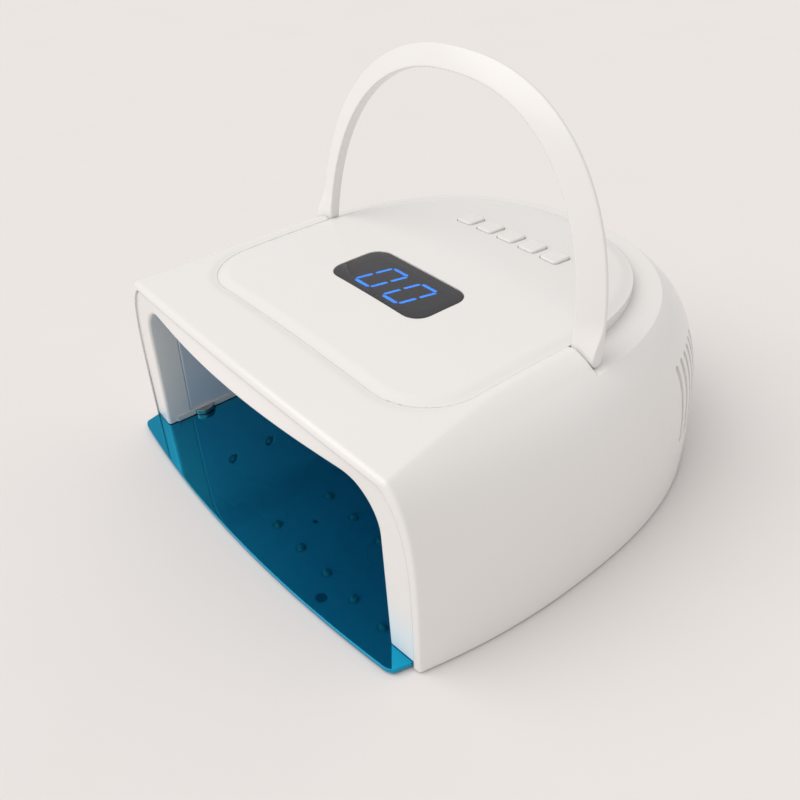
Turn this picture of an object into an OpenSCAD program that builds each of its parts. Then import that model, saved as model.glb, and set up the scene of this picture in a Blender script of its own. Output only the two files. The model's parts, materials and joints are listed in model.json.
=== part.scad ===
// Rechargeable UV LED nail lamp with a folding carry handle.
// Frame: +Z up, front opening towards -Y, origin under the middle of the lamp on the table.

/* [Body] */
// Widest width of the white body, low down at the sides
body_w = 234.6; // [214:0.2:250]
// Depth of the body from its front corners to the rear
body_d = 225; // [212:1:240]
// Height of the top of the crown above the table
body_h = 94; // [92:0.5:100]
// Wall thickness of the white mouldings
wall = 3; // [2.4:0.1:3.4]
// How far the side walls swell out between the front corners and the widest point
side_bulge = 9.3; // [4:0.1:12]
// How far the front rim bows forward at the middle
rim_bow = 4.9; // [2:0.1:8]
// Radius of the gently domed top
crown_r = 1100; // [900:10:2000]

/* [Opening] */
// Width of the hand opening at the bottom
opening_w = 182; // [160:1:186]
// Width of the hand opening at the top, before the corners
opening_top_w = 175; // [150:1:180]
// Height of the hand opening above the table
opening_h = 78; // [68:0.5:78]
// Corner radius of the hand opening
opening_r = 20; // [10:1:28]
// Depth of the front frame's inner collar
collar_d = 12; // [8:1:32]
// Depth of the mirrored cavity behind the collar
cavity_d = 161; // [120:1:163]

/* [Base plate] */
// Width of the removable mirror plate
plate_w = 209; // [190:1:210]
// Thickness of the mirror plate
plate_t = 2; // [1.5:0.1:2.6]
// How far the plate bows out beyond the front corners
plate_lip = 16.6; // [8:0.2:24]
// Diameter of the rubber feet
foot_d = 12; // [8:0.5:16]
// Height of the rubber feet
foot_h = 1.2; // [0.8:0.1:2]

/* [Handle] */
// Clear width between the handle's legs at the hinge
handle_in_w = 162; // [150:1:166]
// Height of the handle's inner arch above its springing line
handle_in_h = 96.2; // [80:0.2:100]
// Radial width of the handle at the legs
handle_band = 12; // [9:0.2:12.6]
// Thickness of the handle at its inner edge
handle_t = 5.6; // [5:0.1:6]
// Lean of the handle when it stands up, back from vertical
handle_lean = 6.4; // [0:0.2:12]
// Diameter of the hinge pins
pin_d = 3; // [2:0.1:3.4]

/* [Display and keys] */
// Width of the dark display window
window_w = 61.9; // [50:0.1:70]
// Depth of the dark display window, front to back
window_d = 31.2; // [28:0.1:36]
// Height of one glowing numeral
digit_h = 20.3; // [14:0.1:22]
// Slant of the numerals
digit_slant = 13; // [0:1:15]
// Spacing of the keys along the row
key_pitch = 14; // [12:0.5:15]
// Width of one key
key_w = 10; // [7:0.1:11]
// Depth of one key, front to back
key_d = 11; // [8:0.1:13]
// Height a key stands above the top panel
key_proud = 1.2; // [1:0.1:2]
// Travel of a key when pressed
key_travel = 0.6; // [0.3:0.1:0.8]

/* [Inside] */
// Number of battery cells stacked in each column
cell_rows = 2; // [1:1:3]
// Diameter of one battery cell
cell_d = 18.4; // [17:0.1:19]
// Length of one battery cell
cell_l = 65; // [60:0.5:68]
// Diameter of the dome lens on each lamp LED
led_d = 5; // [4:0.1:6]
// Lamp LEDs from side to side in the roof of the cavity
led_cols = 6; // [3:1:7]
// Lamp LEDs from front to back in the roof of the cavity
led_rows = 4; // [2:1:5]
// Lamp LEDs in each side wall of the cavity
side_leds = 5; // [3:1:6]

/* [Clearances] */
// Gap between a moving key and its hole
key_gap = 0.4; // [0.3:0.05:0.6]
// Gap between fixed mouldings at a seam
seam_gap = 0.3; // [0.2:0.05:0.5]
// Gap between the handle and the raised top panel
handle_gap = 0.6; // [0.4:0.1:1]
// Radial running clearance of the hinge pins
pin_play = 0.05; // [0.03:0.01:0.1]
// Gap between the base plate and the body above it
plate_gap = 0.4; // [0.3:0.1:0.8]
// Gap in front of the handle's feet, to the step of the shell
foot_gap = 0.6; // [0.4:0.1:3]

/* [Hidden] */
$fn = 48;
eps = 0.05;
through = 400;
half_w = (body_w - 2 * side_bulge) / 2;
y_front = (plate_lip - body_d) / 2;
y_rear = y_front + body_d;
shell_z0 = foot_h - 0.2;
form_h = body_h + 0.5;
shoulder_power = 6;
plan_power = 2.5;
plan_power_drop = 0.25;
widest_frac = 0.325;
widest_shift = 17;
rear_lean = 7;
ledge_z = body_h - 10;
lean_z = body_h - 8;
crown_y = y_front + 85;
crown_reach = 220;
plan_steps = 16;
corner_steps = 14;
levels = [0, 0.34, 0.5, 0.62, 0.71, 0.78, 0.84, 0.89, 0.925, 0.95, 0.97, 0.985];
rim_step = 0.8;
face_t = 2.6;
rim_r = (half_w * half_w + rim_bow * rim_bow) / (2 * rim_bow);

plate_z0 = foot_h;
plate_z1 = plate_z0 + plate_t;
frame_z0 = plate_z1 + plate_gap;
base_t = 3;
base_z1 = frame_z0 + base_t;

pivot_z = ledge_z + 3.3;
pivot_y = y_front + 105.5;
spring_drop = 6.5;
handle_power = 2.3;
handle_steps = 20;
handle_out_w = handle_in_w + 2 * handle_band;
handle_top_band = handle_band * 0.76;
handle_slope = handle_t - 1.5;
handle_mid = handle_t / 2 - 0.1;
foot_end_r = handle_t / 2 + 0.1;
pocket_y = pivot_y - foot_end_r - foot_gap;

panel_half_w = handle_in_w / 2 - handle_gap;
panel_rear = handle_in_h - handle_gap;
panel_mid_y = pivot_y - spring_drop;
panel_front_y = y_front + 25;
panel_corner = 28;
panel_wall = 2.5;
seat_w = 3;
pin_press = 0.02;
seat_t = 2.8;
ceiling_z = ledge_z - seat_t;

board_z = ledge_z - 1.2;
board_t = 1.6;
board_top = board_z + board_t;
board_w = 2 * (panel_half_w - 30.4);
board_screw_x = board_w / 2 - 6;
window_y = y_front + 81;
window_t = 1.6;
window_top = crown_z(window_w / 2, window_y - window_d / 2);
key_y = y_front + 152;
key_n = 5;
key_flange_t = 1;
flange_z = crown_z(key_pitch * 2 + key_w, key_y + key_d) - panel_wall - key_flange_t - 0.4;

cav_y0 = y_front + collar_d + seam_gap;
cav_y1 = cav_y0 + cavity_d;
liner_t = 1.5;
liner_top = opening_h - 2;
led_gap = 0.2;
led_board_t = 1.6;
led_screw_r = 1.25;
led_pitch_x = 24;
led_pitch_y = 36;
led_y0 = cav_y0 + 24;
side_pitch = 24;
side_led_z = 42;
side_board_h = 20;
side_led_x = max(opening_w, opening_top_w) / 2;
side_board_x = side_led_x + 1;

batt_y = cav_y1 + cell_d / 2 + 4.8;
batt_wall = 2;
batt_z0 = base_z1;
jack_z = 26;
jack_d = 8;
jack_l = 10;
jack_bore_d = 6;
jack_body_l = 10;
main_board_w = 90;
main_board_y = y_rear - 17.5;
plate_bow = 8;
plate_bow_r = (plate_w * plate_w / 4 + plate_bow * plate_bow) / (2 * plate_bow);
plate_bow_y = y_front - plate_lip + plate_bow_r;
plate_corner = 8;
plate_d = 207;
magnet_d = 12;
magnet_t = 2.4;
magnet_x = plate_w / 2 - 12;
magnet_ys = [y_front + 20, y_front + 160];
keeper_t = 1.2;
foot_x = plate_w / 2 - 16;
foot_ys = [y_front + 8, y_front + 160];
screw_d = 3;
screw_head_d = 6;
boss_d = 8;
boss_x = half_w - 3.5;
boss_ys = [y_front + 44, y_front + 128];
rear_boss_x = 79;
rear_boss_y = y_rear - 41;
vent_n = 6;
vent_w = 2.6;
vent_pitch = 6;
vent_z0 = 28;
vent_h = 40;
white = [0.95, 0.94, 0.92];

// ---------- shapes shared by several sub-parts ----------

function crown_z(x, y) = body_h - crown_r + sqrt(crown_r * crown_r - x * x - pow(y - crown_y, 2));

function side_inset(z) = half_w * (1 - pow(max(0, 1 - pow(z / form_h, shoulder_power)), 1 / shoulder_power));

function lean(z) = pow(z / lean_z, 3);

function widest_y(z) = y_front + body_d * widest_frac + widest_shift * lean(z);

function front_half(z, grow) = half_w - side_inset(z) + grow;

function bulge(z) = side_bulge * max(0, 1 - lean(z));

function side_x(z, y, grow) = front_half(z, grow)
    + bulge(z) * (1 - pow((widest_y(z) - y) / (body_d * widest_frac), 2));

function rear_x(z, a, grow) = (front_half(z, grow) + bulge(z))
    * pow(cos(a), 2 / (plan_power - plan_power_drop * lean(z)));

function rear_y(z, a, grow) = widest_y(z) + (y_rear - side_inset(z) - rear_lean * lean(z) + grow - widest_y(z))
    * pow(sin(a), 2 / (plan_power - plan_power_drop * lean(z)));

function half_ring(z, grow) = concat(
    [for (i = [0:6]) let (y = y_front - 20 + i * (widest_y(z) - y_front + 20) / 7) [side_x(z, y, grow), y]],
    [for (i = [0:plan_steps]) let (a = 90 * i / plan_steps) [rear_x(z, a, grow), rear_y(z, a, grow)]]);

function ring_at(z, grow) = let (h = half_ring(z, grow), n = len(h))
    concat(h, [for (i = [n - 2:-1:0]) [-h[i][0], h[i][1]]]);

// The smooth outer form of the body, swollen by "grow" and raised by "top" (negative shrinks it).
module body_form(grow, top) {
    rings = [for (f = levels) ring_at(f * form_h, grow)];
    n = len(rings[0]);
    m = len(levels);
    points = [for (j = [0:m - 1]) for (p = rings[j]) [p[0], p[1], max(shell_z0, levels[j] * form_h + (j == 0 ? 0 : top))]];
    sides = [for (j = [0:m - 2]) for (i = [0:n - 1]) for (t = [0, 1])
        t == 0 ? [j * n + i, (j + 1) * n + i, j * n + (i + 1) % n]
            : [j * n + (i + 1) % n, (j + 1) * n + i, (j + 1) * n + (i + 1) % n]];
    mid = (n - 1) / 2;
    caps = [[for (i = [0:n - 1]) (mid + i) % n], [for (i = [0:n - 1]) (m - 1) * n + (mid - i + n) % n]];
    polyhedron(points, concat(sides, caps));
}

module crown_ball(drop) {
    translate([0, crown_y, body_h - drop])
        rotate_extrude($fn = 96)
            intersection() {
                translate([0, -crown_r])
                    circle(r = crown_r, $fn = 720);
                translate([0, -body_h - 10])
                    square([crown_reach, body_h + 20]);
            }
}

module rim_drum(back) {
    translate([0, y_front - rim_bow + rim_r + back, -eps])
        cylinder(r = rim_r, h = through, $fn = 720);
}

// Arched outline standing on the table line, with a slight side draft and rounded top corners.
module arch2d(w0, w1, h, r) {
    draft = atan((w0 - w1) / 2 / h);
    zc = h - r;
    xc = w0 / 2 - zc * tan(draft) - r / cos(draft);
    corner = [for (i = [0:corner_steps]) let (a = draft + (90 - draft) * i / corner_steps)
        [xc + r * cos(a), zc + r * sin(a)]];
    other = [for (i = [corner_steps:-1:0]) [-corner[i][0], corner[i][1]]];
    polygon(concat([[-w0 / 2, 0], [w0 / 2, 0]], corner, other));
}

module tunnel(y0, y1, grow) {
    translate([0, y1, 0])
        rotate([90, 0, 0])
            linear_extrude(height = y1 - y0)
                arch2d(opening_w + 2 * grow, opening_top_w + 2 * grow, opening_h + grow, opening_r + grow);
}

module round_rect(w, d, r) {
    square([w - 2 * r, d], center = true);
    square([w, d - 2 * r], center = true);
    for (x = [-1, 1])
        for (y = [-1, 1])
            translate([x * (w / 2 - r), y * (d / 2 - r)])
                circle(r = r);
}

function arch_pt(a, w, h) = [w * pow(cos(a), 2 / handle_power), h * pow(sin(a), 2 / handle_power)];

function arch_pts(w, h) = concat(
    [for (i = [0:handle_steps]) arch_pt(90 * i / handle_steps, w, h)],
    [for (i = [handle_steps - 1:-1:0]) let (p = arch_pt(90 * i / handle_steps, w, h)) [-p[0], p[1]]]);

// Raised top outline: rounded front, arch-shaped rear that follows the folded handle.
module panel2d(grow) {
    d = panel_mid_y - panel_front_y;
    translate([0, panel_mid_y])
        polygon(concat([[panel_half_w + grow, -eps]], arch_pts(panel_half_w + grow, panel_rear + grow),
            [[-panel_half_w - grow, -eps]]));
    intersection() {
        translate([0, panel_front_y + d])
            round_rect(2 * (panel_half_w + grow), 2 * (d + grow), panel_corner + grow);
        translate([-through / 2, -through / 2])
            square([through, panel_mid_y + through / 2]);
    }
}

module mirror_x() {
    children();
    mirror([1, 0, 0])
        children();
}

module rod_x(x0, x1, y, z, r) {
    translate([x0, y, z])
        rotate([0, 90, 0])
            cylinder(r = r, h = x1 - x0);
}

// ---------- white mouldings ----------

module panel_well() {
    translate([0, 0, ceiling_z])
        linear_extrude(height = body_h)
            panel2d(seam_gap + 2.2);
}

module vent_cuts() {
    mirror_x()
        translate([half_w - 12, y_rear - 57, vent_z0])
            rotate([0, 0, 44])
                for (i = [0:vent_n - 1])
                    translate([-20, (i - (vent_n - 1) / 2) * vent_pitch - vent_w / 2, 0])
                        cube([60, vent_w, vent_h]);
}

module base_boss_posts(r, z0, z1) {
    mirror_x() {
        for (y = boss_ys)
            translate([boss_x, y, z0])
                cylinder(r = r, h = z1 - z0);
        translate([rear_boss_x, rear_boss_y, z0])
            cylinder(r = r, h = z1 - z0);
    }
}

module handle_pocket() {
    difference() {
        translate([-through / 2, pocket_y, ledge_z])
            cube([through, through, through]);
        linear_extrude(height = through)
            panel2d(seam_gap - eps);
    }
}

module outer_shell() {
    color(white)
        difference() {
            intersection() {
                body_form(0, 0);
                crown_ball(0);
                rim_drum(0);
            }
            difference() {
                intersection() {
                    body_form(-wall, -wall);
                    crown_ball(wall);
                    union() {
                        translate([-through / 2, -through / 2, -eps])
                            cube([through, through, ceiling_z + eps]);
                        translate([-through / 2, -through, -eps])
                            cube([through, through + pocket_y - wall, through]);
                    }
                }
                panel_well();
                shell_bosses();
            }
            translate([-half_w, y_front - 40, -eps])
                cube([2 * half_w, 40 + wall, shell_z0 + 2 * eps]);
            translate([0, 0, ledge_z])
                linear_extrude(height = body_h)
                    panel2d(seam_gap);
            translate([0, 0, ceiling_z - 1])
                linear_extrude(height = body_h)
                    panel2d(-seat_w);
            handle_pocket();
            vent_cuts();
            translate([0, y_rear + 10, jack_z])
                rotate([90, 0, 0])
                    cylinder(d = jack_d + 1, h = 30);
            base_boss_posts(screw_d / 2 - 0.25, 0, base_z1 + 12);
        }
}

module shell_bosses() {
    intersection() {
        union() {
            base_boss_posts(boss_d / 2, base_z1, base_z1 + 18);
            mirror_x() {
                for (y = boss_ys)
                    translate([boss_x, y - 1.5, base_z1])
                        cube([16, 3, 16]);
                translate([rear_boss_x, rear_boss_y - 1.5, base_z1])
                    cube([30, 3, 16]);
            }
        }
        body_form(-wall / 2, -wall);
    }
}

module top_panel() {
    color(white)
        difference() {
            intersection() {
                translate([0, 0, ledge_z])
                    linear_extrude(height = body_h)
                        panel2d(0);
                crown_ball(0);
            }
            difference() {
                intersection() {
                    translate([0, 0, ledge_z - eps])
                        linear_extrude(height = body_h)
                            panel2d(-panel_wall);
                    crown_ball(panel_wall);
                }
                panel_bosses();
            }
            translate([0, window_y, board_z])
                linear_extrude(height = 30)
                    round_rect(window_w - 4, window_d - 4, 6);
            translate([0, window_y, window_top - window_t])
                linear_extrude(height = 30)
                    round_rect(window_w + 2 * seam_gap, window_d + 2 * seam_gap, 8 + seam_gap);
            for (i = [0:key_n - 1])
                translate([(i - 2) * key_pitch, key_y, board_top])
                    linear_extrude(height = 30)
                        round_rect(key_w + 2 * key_gap, key_d + 2 * key_gap, 2 + key_gap);
            mirror_x()
                rod_x(panel_half_w - 14, panel_half_w + 1, pivot_y, pivot_z, pin_d / 2 + 0.9);
            board_screw_posts(0.9, board_top - 1, board_top + 5);
        }
}

module panel_bosses() {
    mirror_x()
        translate([panel_half_w - 7.5, pivot_y - 5, ledge_z])
            cube([6, 10, 8]);
    board_screw_posts(3, board_top, body_h - 1);
}

module board_screw_posts(r, z0, z1) {
    mirror_x()
        for (y = [window_y - 22, key_y + 14])
            translate([board_screw_x, y, z0])
                cylinder(r = r, h = z1 - z0);
}

module front_frame() {
    color(white)
        difference() {
            intersection() {
                difference() {
                    intersection() {
                        body_form(-wall - seam_gap, -wall - seam_gap);
                        crown_ball(wall + seam_gap);
                        translate([-through / 2, y_front - 15, frame_z0])
                            cube([through, 15 + collar_d, through]);
                    }
                    tunnel(y_front - 30, y_front + collar_d + 10, 0);
                }
                rim_drum(rim_step);
            }
            difference() {
                rim_drum(rim_step + face_t);
                tunnel(y_front - 30, y_front + collar_d + 10, face_t);
            }
            translate([-through / 2, y_front + face_t + rim_step + 0.4, 0])
                cube([through, through, base_z1]);
        }
}

module base_frame() {
    color([0.9, 0.9, 0.89])
        difference() {
            intersection() {
                translate([0, 0, frame_z0])
                    linear_extrude(height = base_t)
                        polygon(ring_at(frame_z0, -wall - seam_gap));
                translate([-through / 2, y_front + face_t + rim_step + 0.8, 0])
                    cube(through);
            }
            translate([1 - opening_w / 2, y_front - through, 0])
                cube([opening_w - 2, through + collar_d + cavity_d - 6, through]);
            base_boss_posts(screw_d / 2 + 0.2, 0, 20);
            magnet_spots(magnet_d / 2 + 0.05, frame_z0 - 1, frame_z0 + magnet_t);
        }
}

module magnet_spots(r, z0, z1) {
    mirror_x()
        for (y = magnet_ys)
            translate([magnet_x, y, z0])
                cylinder(r = r, h = z1 - z0);
}

// ---------- mirrored cavity and base plate ----------

module led_positions() {
    for (i = [0:led_cols - 1])
        for (j = [0:led_rows - 1])
            translate([(i - (led_cols - 1) / 2) * led_pitch_x, led_y0 + j * led_pitch_y, liner_top])
                children();
}

module side_led_positions() {
    for (s = [-1, 1])
        for (j = [0:side_leds - 1])
            translate([s * side_led_x, cav_y0 + 18 + j * side_pitch, side_led_z])
                rotate([0, s * 90, 0])
                    children();
}

module cavity_form(grow) {
    intersection() {
        translate([0, cav_y1 + grow, 0])
            rotate([90, 0, 0])
                linear_extrude(height = cavity_d + 2 * grow)
                    arch2d(opening_w + 2 * grow, opening_top_w + 2 * grow, liner_top + grow, opening_r + grow);
        linear_extrude(height = through)
            union() {
                translate([0, cav_y1 - 60])
                    round_rect(opening_w + 2 * grow + 4, 120 + 2 * grow, 40 + grow);
                translate([-through / 2, cav_y1 - 60 - through])
                    square([through, through]);
            }
    }
}

module reflector_liner() {
    color([0.78, 0.8, 0.84])
        difference() {
            intersection() {
                cavity_form(liner_t);
                translate([-through / 2, cav_y0, base_z1])
                    cube(through);
            }
            translate([0, -eps, 0])
                cavity_form(0);
            translate([-through / 2, cav_y0 - 10, 0])
                cube([through, 10, through]);
            led_positions()
                translate([0, 0, -eps])
                    cylinder(r = led_d / 2 + led_gap, h = 10);
            side_led_positions()
                translate([0, 0, -6])
                    cylinder(r = led_d / 2 + led_gap, h = 16);
            translate([0, cav_y0 + 12, liner_top - 1])
                cylinder(r = 3.2, h = 10);
            led_screw_posts(led_screw_r + 0.05, liner_top - 1, liner_top + 10);
        }
}

// One half of the plate's bowed front edge, with its rounded corner, from the middle outwards.
function plate_half() = let (w = plate_w / 2 - plate_corner,
    yc = plate_bow_y - sqrt(pow(plate_bow_r - plate_corner, 2) - w * w),
    a0 = atan2(yc - plate_bow_y, w))
    concat([for (i = [0:plan_steps]) let (a = -90 + (a0 + 90) * i / plan_steps)
            [plate_bow_r * cos(a), plate_bow_y + plate_bow_r * sin(a)]],
        [for (i = [1:corner_steps]) let (a = a0 * (1 - i / corner_steps))
            [w + plate_corner * cos(a), yc + plate_corner * sin(a)]]);

module plate2d() {
    edge = plate_half();
    n = len(edge);
    intersection() {
        polygon(concat(edge, [[plate_w / 2, through], [-plate_w / 2, through]],
            [for (i = [n - 1:-1:1]) [-edge[i][0], edge[i][1]]]));
        translate([0, y_front - plate_lip - plate_corner + plate_d / 2])
            round_rect(plate_w + 2, plate_d + 2 * plate_corner, plate_corner);
        polygon(ring_at(shell_z0, -wall - 1));
    }
}

module base_plate() {
    color([0.05, 0.4, 0.55])
        difference() {
            translate([0, 0, plate_z0])
                linear_extrude(height = plate_t)
                    plate2d();
            magnet_spots(magnet_d / 2 + 0.05, plate_z1 - keeper_t, plate_z1 + 1);
        }
}

module plate_keepers() {
    color([0.7, 0.7, 0.72])
        magnet_spots(magnet_d / 2, plate_z1 - keeper_t, plate_z1);
}

module base_magnets() {
    color([0.75, 0.75, 0.77])
        magnet_spots(magnet_d / 2, frame_z0, frame_z0 + magnet_t);
}

module plate_feet() {
    color([0.15, 0.15, 0.16])
        mirror_x()
            for (y = foot_ys)
                translate([foot_x, y, 0])
                    cylinder(d = foot_d, h = foot_h);
}

// ---------- carry handle ----------

module in_handle_frame() {
    translate([0, pivot_y, pivot_z])
        rotate([-handle_lean, 0, 0])
            children();
}

// Arch standing on XZ, its back face at y = handle_t / 2.
module handle_arch() {
    inner = arch_pts(handle_in_w / 2, handle_in_h);
    outer = arch_pts(handle_out_w / 2, handle_in_h + handle_top_band);
    squeeze = [handle_in_w / handle_out_w, handle_in_h / (handle_in_h + handle_top_band)];
    translate([0, handle_t - handle_mid, -spring_drop])
        rotate([90, 0, 0])
            difference() {
                union() {
                    linear_extrude(height = handle_t - handle_slope)
                        polygon(outer);
                    translate([0, 0, handle_t - handle_slope - eps])
                        linear_extrude(height = handle_slope + eps, scale = squeeze, slices = 1)
                            polygon(outer);
                }
                translate([0, 0, -1])
                    linear_extrude(height = handle_t + 2)
                        polygon(concat([[handle_in_w / 2, -10]], inner, [[-handle_in_w / 2, -10]]));
            }
}

module handle() {
    color(white)
        in_handle_frame()
            difference() {
                union() {
                    intersection() {
                        handle_arch();
                        translate([-through / 2, -through / 2, 0])
                            cube(through);
                    }
                    mirror_x()
                        rod_x(handle_in_w / 2, handle_in_w / 2 + handle_band - 1, 0, 0, foot_end_r);
                }
                mirror_x()
                    rod_x(handle_in_w / 2 - 1, handle_in_w / 2 + 7, 0, 0, pin_d / 2 + pin_press);
            }
}

module hinge_pin() {
    rod_x(handle_in_w / 2 - 11.5, handle_in_w / 2 + 6.8, pivot_y, pivot_z, pin_d / 2);
    rod_x(handle_in_w / 2 - 12.7, handle_in_w / 2 - 11.5 + eps, pivot_y, pivot_z, pin_d / 2 + 0.8);
}

module handle_pin_right() {
    color([0.7, 0.7, 0.72])
        hinge_pin();
}

module handle_pin_left() {
    color([0.7, 0.7, 0.72])
        mirror([1, 0, 0])
            hinge_pin();
}

module hinge_bush() {
    difference() {
        rod_x(panel_half_w - 8.8, panel_half_w - 0.3, pivot_y, pivot_z, pin_d / 2 + 0.88);
        rod_x(panel_half_w - 12, panel_half_w + 2, pivot_y, pivot_z, pin_d / 2 + pin_play);
    }
}

module hinge_bush_right() {
    color([0.25, 0.25, 0.27])
        hinge_bush();
}

module hinge_bush_left() {
    color([0.25, 0.25, 0.27])
        mirror([1, 0, 0])
            hinge_bush();
}

// ---------- display and keys ----------

module display_window() {
    color([0.1, 0.1, 0.12])
        translate([0, window_y, window_top - window_t])
            linear_extrude(height = window_t)
                round_rect(window_w, window_d, 8);
}

module display_module() {
    z1 = window_top - window_t - 0.3;
    color([0.12, 0.12, 0.13])
        difference() {
            translate([0, window_y, board_top])
                linear_extrude(height = z1 - board_top)
                    square([window_w - 12, window_d - 8], center = true);
            translate([0, 0, z1 - 1])
                linear_extrude(height = 2)
                    digits2d(0.05);
        }
}

module segment2d(l, w) {
    polygon([[-l / 2, 0], [-l / 2 + w / 2, w / 2], [l / 2 - w / 2, w / 2], [l / 2, 0],
        [l / 2 - w / 2, -w / 2], [-l / 2 + w / 2, -w / 2]]);
}

// Both numerals, each with its seven segments.
module digits2d(grow) {
    seg_w = 1.6;
    span = digit_h / 2 - seg_w / 2;
    wide = digit_h * 0.52;
    for (s = [-1, 1])
        translate([s * digit_h * 0.48, window_y - 0.8])
            multmatrix([[1, tan(digit_slant), 0, 0], [0, 1, 0, 0], [0, 0, 1, 0], [0, 0, 0, 1]])
                union() {
                    for (k = [-1, 0, 1])
                        translate([0, k * span])
                            segment2d(wide - 1 + 2 * grow, seg_w + 2 * grow);
                    for (x = [-1, 1])
                        for (k = [-1, 1])
                            translate([x * wide / 2, k * span / 2])
                                rotate([0, 0, 90])
                                    segment2d(span - 1 + 2 * grow, seg_w + 2 * grow);
                }
}

module digit_segments() {
    z1 = window_top - window_t - 0.3;
    color([0, 0.45, 1])
        translate([0, 0, z1 - 1])
            linear_extrude(height = 1)
                digits2d(0);
}

module control_board() {
    color([0.1, 0.35, 0.2])
        difference() {
            translate([0, 0, board_z])
                linear_extrude(height = board_t)
                    translate([0, (window_y + key_y) / 2 - 5])
                        round_rect(board_w, 120, 4);
            board_screw_posts(1.5, board_z - 1, board_top + 1);
        }
}

module control_board_screws() {
    color([0.6, 0.6, 0.62])
        union() {
            board_screw_posts(0.85, board_z - eps, board_top + 4.5);
            board_screw_posts(2, board_z - 1, board_z);
        }
}

// Low switches under the keys; each button stands just below the end of its key's travel.
module key_switches() {
    h = flange_z - key_travel - 0.06 - board_top;
    color([0.2, 0.2, 0.22])
        for (i = [0:key_n - 1])
            translate([(i - 2) * key_pitch, key_y, board_top]) {
                translate([-3, -3, 0])
                    cube([6, 6, 0.75 * h]);
                cylinder(r = 1.6, h = h);
            }
}

module key_cap(i) {
    x = (i - 2) * key_pitch;
    color(white)
        union() {
            translate([x, key_y, flange_z])
                linear_extrude(height = crown_z(x, key_y) + key_proud - flange_z)
                    round_rect(key_w, key_d, 2);
            translate([x, key_y, flange_z])
                linear_extrude(height = key_flange_t)
                    round_rect(key_w + 2.4, key_d + 2.4, 2);
        }
}

module key_10s() {
    key_cap(0);
}

module key_30s() {
    key_cap(1);
}

module key_60s() {
    key_cap(2);
}

module key_99s() {
    key_cap(3);
}

module key_power() {
    key_cap(4);
}

// ---------- lamp electronics ----------

module led_board_top() {
    z0 = liner_top + liner_t;
    color([0.85, 0.87, 0.88])
        difference() {
            translate([0, led_y0 + (led_rows - 1) * led_pitch_y / 2, z0])
                linear_extrude(height = led_board_t)
                    round_rect((led_cols - 1) * led_pitch_x + 14, (led_rows - 1) * led_pitch_y + 14, 4);
            led_screw_posts(1.6, z0 - 1, z0 + 4);
        }
}

module led_screw_posts(r, z0, z1) {
    for (x = [-1, 1])
        for (y = [0, 1])
            translate([x * led_pitch_x * (led_cols - 2) / 2, led_y0 + led_pitch_y * (y * (led_rows - 2) + 0.5), z0])
                cylinder(r = r, h = z1 - z0);
}

module led_board_screws() {
    z0 = liner_top + liner_t;
    color([0.6, 0.6, 0.62])
        union() {
            led_screw_posts(led_screw_r, liner_top + 0.3, z0 + led_board_t);
            led_screw_posts(2.6, z0 + led_board_t, z0 + led_board_t + 1);
        }
}

module side_board() {
    translate([side_board_x + liner_t, cav_y0 + 8, side_led_z - side_board_h / 2])
        cube([led_board_t, (side_leds - 1) * side_pitch + 20, side_board_h]);
}

module led_board_right() {
    color([0.85, 0.87, 0.88])
        side_board();
}

module led_board_left() {
    color([0.85, 0.87, 0.88])
        mirror([1, 0, 0])
            side_board();
}

module lens(stem) {
    cylinder(r = led_d / 2, h = stem);
    difference() {
        sphere(r = led_d / 2);
        cylinder(r = led_d, h = led_d);
    }
}

module led_lenses() {
    color([0.9, 0.85, 0.6, 0.8])
        union() {
            led_positions()
                lens(liner_t);
            side_led_positions()
                lens(1 + liner_t);
        }
}

module hand_sensor() {
    color([0.15, 0.1, 0.15])
        union() {
            translate([0, cav_y0 + 12, liner_top])
                cylinder(r = 3, h = 3);
            translate([0, cav_y0 + 12, liner_top + liner_t])
                cylinder(r = 5, h = 2.4);
        }
}

module main_board() {
    color([0.1, 0.35, 0.2])
        translate([-main_board_w / 2, main_board_y, base_z1])
            cube([main_board_w, board_t, 48]);
}

module main_board_parts() {
    color([0.2, 0.2, 0.22])
        union() {
            for (x = [-34, -22])
                translate([x, main_board_y, 34])
                    rotate([90, 0, 0])
                        cylinder(d = 10, h = 5.6);
            translate([8, main_board_y - 4, 22])
                cube([14, 4, 14]);
            translate([30, main_board_y - 1.6, 30])
                cube([10, 1.6, 8]);
            translate([-12, main_board_y - 5.4, 40])
                cube([12, 5.4, 12]);
        }
}

module charge_socket() {
    y0 = main_board_y + board_t;
    mouth = y_rear - 0.8;
    color([0.1, 0.1, 0.11])
        difference() {
            union() {
                translate([-jack_d / 2 - 1.5, y0, jack_z - jack_d / 2 - 1.5])
                    cube([jack_d + 3, jack_body_l, jack_d + 3]);
                translate([0, mouth, jack_z])
                    rotate([90, 0, 0])
                        cylinder(d = jack_d, h = mouth - y0 - 1);
            }
            translate([0, mouth + 1, jack_z])
                rotate([90, 0, 0])
                    difference() {
                        cylinder(d = jack_bore_d, h = jack_l);
                        translate([0, 0, 3])
                            cylinder(d = 2, h = jack_l);
                    }
        }
}

module cells(r, l) {
    for (s = [-1, 1])
        for (k = [0:cell_rows - 1])
            rod_x(s * (cell_l / 2 + 2) - l / 2, s * (cell_l / 2 + 2) + l / 2, batt_y,
                batt_z0 + batt_wall + 0.4 + cell_d / 2 + k * (cell_d + 1), r);
}

module battery_cells() {
    color([0.2, 0.45, 0.75])
        cells(cell_d / 2, cell_l);
}

module battery_tray() {
    h = cell_rows * (cell_d + 1) + batt_wall;
    color([0.16, 0.16, 0.17])
        difference() {
            translate([-cell_l - 6, batt_y - cell_d / 2 - batt_wall, batt_z0])
                cube([2 * cell_l + 12, cell_d + 2 * batt_wall, h]);
            translate([-cell_l - 4, batt_y - cell_d / 2 - 0.3, batt_z0 + batt_wall])
                cube([2 * cell_l + 8, cell_d + 0.6, h]);
        }
}

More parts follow.
